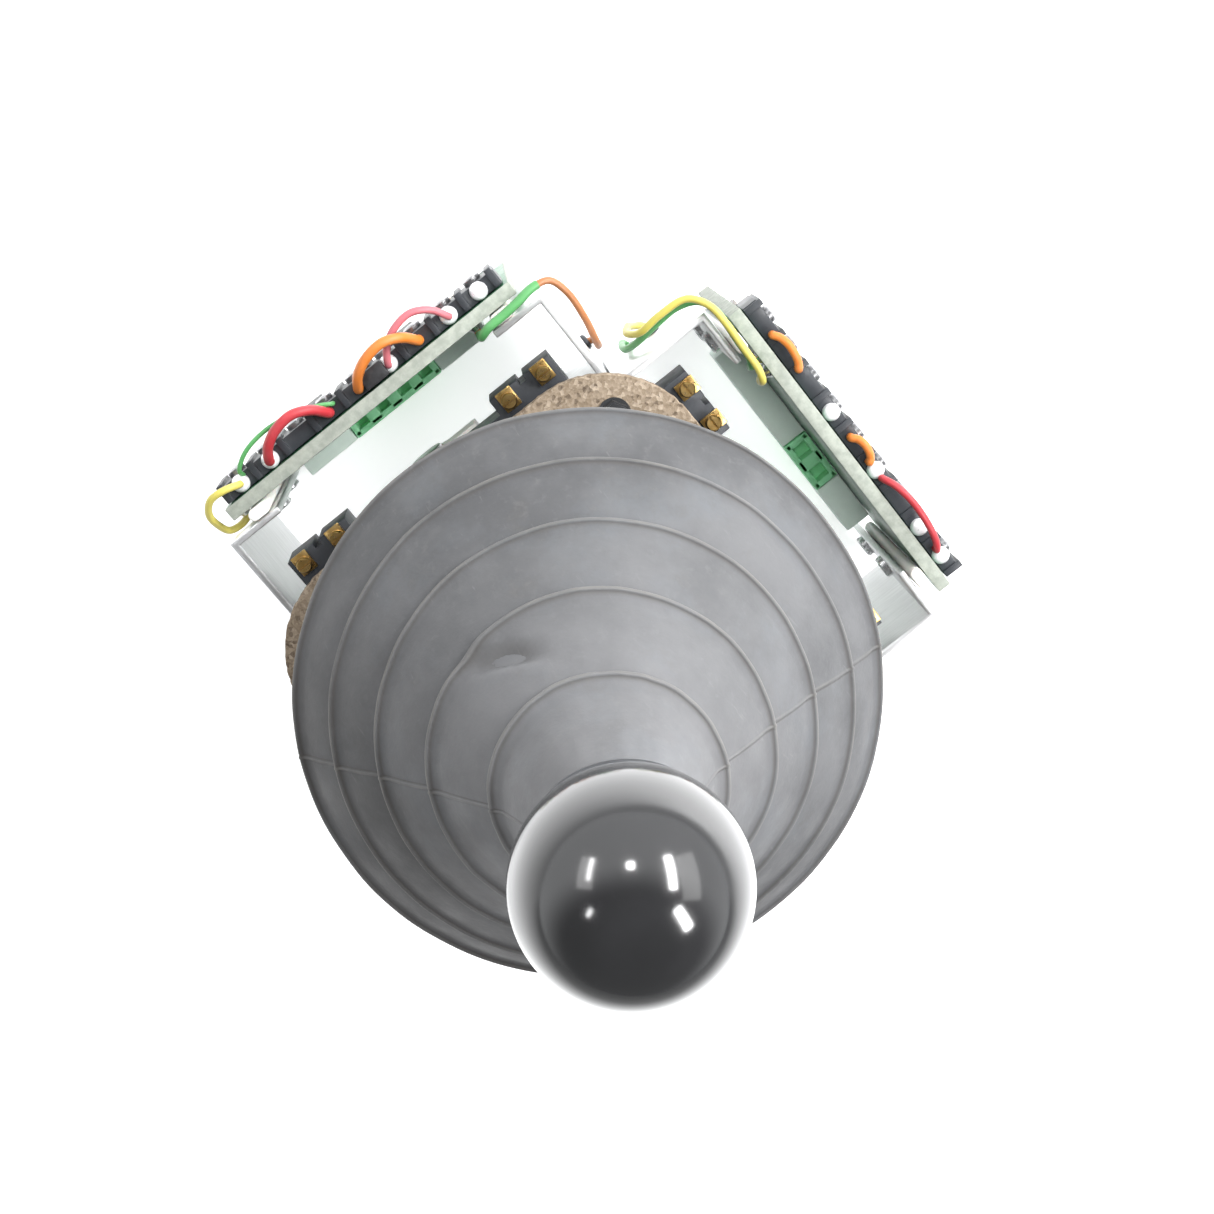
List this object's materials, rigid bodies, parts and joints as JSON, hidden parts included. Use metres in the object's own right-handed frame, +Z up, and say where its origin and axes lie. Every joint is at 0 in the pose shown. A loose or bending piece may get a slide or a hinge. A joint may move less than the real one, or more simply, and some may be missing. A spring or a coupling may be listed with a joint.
{
  "type": "two-axis joystick controller",
  "caption": "Ball-topped two-axis joystick with a stepped rubber boot, square housing, cam contact blocks and upright circuit boards on brackets.",
  "frame": {"origin": "on the lever's axis at the underside of the base cover", "axes": "+Z up along the lever towards the ball; +X and +Y point out of the housing towards the two circuit boards"},
  "size_m": [0.1364, 0.1401, 0.2112],
  "materials": {
    "steel": "zinc plated, satin",
    "aluminium": "bright sheet and casting, satin",
    "black_paint": "black satin paint",
    "cork": "speckled cork composition, matte",
    "boot_rubber": "moulded rubber, matte with a slight bloom",
    "knob_black": "polished phenolic",
    "black_plastic": "moulded black plastic",
    "brass": "plain brass",
    "nylon": "natural nylon",
    "board_green": "solder-masked glass-epoxy board",
    "plug_green": "green moulded plug",
    "wire_pink": "PVC insulation",
    "wire_orange": "PVC insulation",
    "wire_red": "PVC insulation",
    "wire_yellow": "PVC insulation",
    "wire_brown": "PVC insulation",
    "wire_green": "PVC insulation"
  },
  "bodies": {
    "base": {"base_cover": "steel", "gate_plate": "steel", "centring_spring_x": "steel", "centring_spring_y": "steel", "housing": "aluminium", "board_bracket_x": "aluminium", "board_bracket_y": "aluminium", "mounting_plate": "black_paint", "boot_clamp_ring": "black_paint", "cork_gasket": "cork", "rubber_boot": "boot_rubber", "contact_block_x": "black_plastic", "contact_block_y": "black_plastic", "spring_cover_x": "black_plastic", "spring_cover_y": "black_plastic", "wiring_strip_x": "black_plastic", "wiring_strip_y": "black_plastic", "bushing_x_front": "brass", "bushing_x_rear": "brass", "bushing_y_front": "brass", "bushing_y_rear": "brass", "contact_terminal_x_1": "brass", "contact_terminal_x_2": "brass", "contact_terminal_x_3": "brass", "contact_terminal_x_4": "brass", "contact_terminal_y_1": "brass", "contact_terminal_y_2": "brass", "contact_terminal_y_3": "brass", "contact_terminal_y_4": "brass", "board_spacer_x_1": "nylon", "board_spacer_x_2": "nylon", "board_spacer_y_1": "nylon", "board_spacer_y_2": "nylon", "circuit_board_x": "board_green", "circuit_board_y": "board_green", "board_plug_x": "plug_green", "board_plug_y": "plug_green", "pink_jumper_y": "wire_pink", "orange_jumper_y": "wire_orange", "red_jumper_y": "wire_red", "red_jumper_x": "wire_red", "yellow_loop_y": "wire_yellow", "yellow_link_wire": "wire_yellow", "brown_link_wire": "wire_brown", "green_link_wire": "wire_green"},
    "yoke": {"gimbal_yoke": "steel", "rocker_x": "nylon", "centring_arm_x": "steel"},
    "bail": {"slotted_bail": "steel", "rocker_y": "nylon", "centring_arm_y": "steel"},
    "lever": {"pivot_block": "steel", "pivot_pin": "steel", "lever_shaft": "steel", "knob_cup": "black_plastic", "ball_knob": "knob_black"},
    "plunger_x_1": {"plunger_x_1": "nylon"},
    "plunger_x_2": {"plunger_x_2": "nylon"},
    "plunger_y_1": {"plunger_y_1": "nylon"},
    "plunger_y_2": {"plunger_y_2": "nylon"}
  },
  "joints": [
    {"name": "yoke_hinge", "type": "hinge", "parent": "base", "child": "yoke", "pos_m": [0, 0, 0.042], "axis": [1, 0, 0], "range_deg": [-18, 18], "stiffness_Nm_per_rad": 3, "deforming": ["rubber_boot", "centring_spring_x"]},
    {"name": "lever_hinge", "type": "hinge", "parent": "yoke", "child": "lever", "pos_m": [0, 0, 0.042], "axis": [0, 1, 0], "range_deg": [-18, 18], "stiffness_Nm_per_rad": 3, "deforming": ["rubber_boot", "centring_spring_y"]},
    {"name": "bail_hinge", "type": "hinge", "parent": "base", "child": "bail", "pos_m": [0, 0, 0.042], "axis": [0, 1, 0], "range_deg": [-18, 18]},
    {"name": "plunger_x_1_travel", "type": "slide", "parent": "base", "child": "plunger_x_1", "axis": [0, 0, 1], "range_m": [-0.00288, 0.00288], "stiffness_N_per_m": 60},
    {"name": "plunger_x_2_travel", "type": "slide", "parent": "base", "child": "plunger_x_2", "axis": [0, 0, 1], "range_m": [-0.00288, 0.00288], "stiffness_N_per_m": 60},
    {"name": "plunger_y_1_travel", "type": "slide", "parent": "base", "child": "plunger_y_1", "axis": [0, 0, 1], "range_m": [-0.00288, 0.00288], "stiffness_N_per_m": 60},
    {"name": "plunger_y_2_travel", "type": "slide", "parent": "base", "child": "plunger_y_2", "axis": [0, 0, 1], "range_m": [-0.00288, 0.00288], "stiffness_N_per_m": 60}
  ],
  "couplings": [
    {"joint": "bail_hinge", "follows": "lever_hinge", "ratio": 1},
    {"joint": "plunger_y_1_travel", "follows": "lever_hinge", "m_per_rad": 0.009},
    {"joint": "plunger_y_2_travel", "follows": "lever_hinge", "m_per_rad": -0.009},
    {"joint": "plunger_x_1_travel", "follows": "yoke_hinge", "m_per_rad": 0.009},
    {"joint": "plunger_x_2_travel", "follows": "yoke_hinge", "m_per_rad": -0.009}
  ]
}
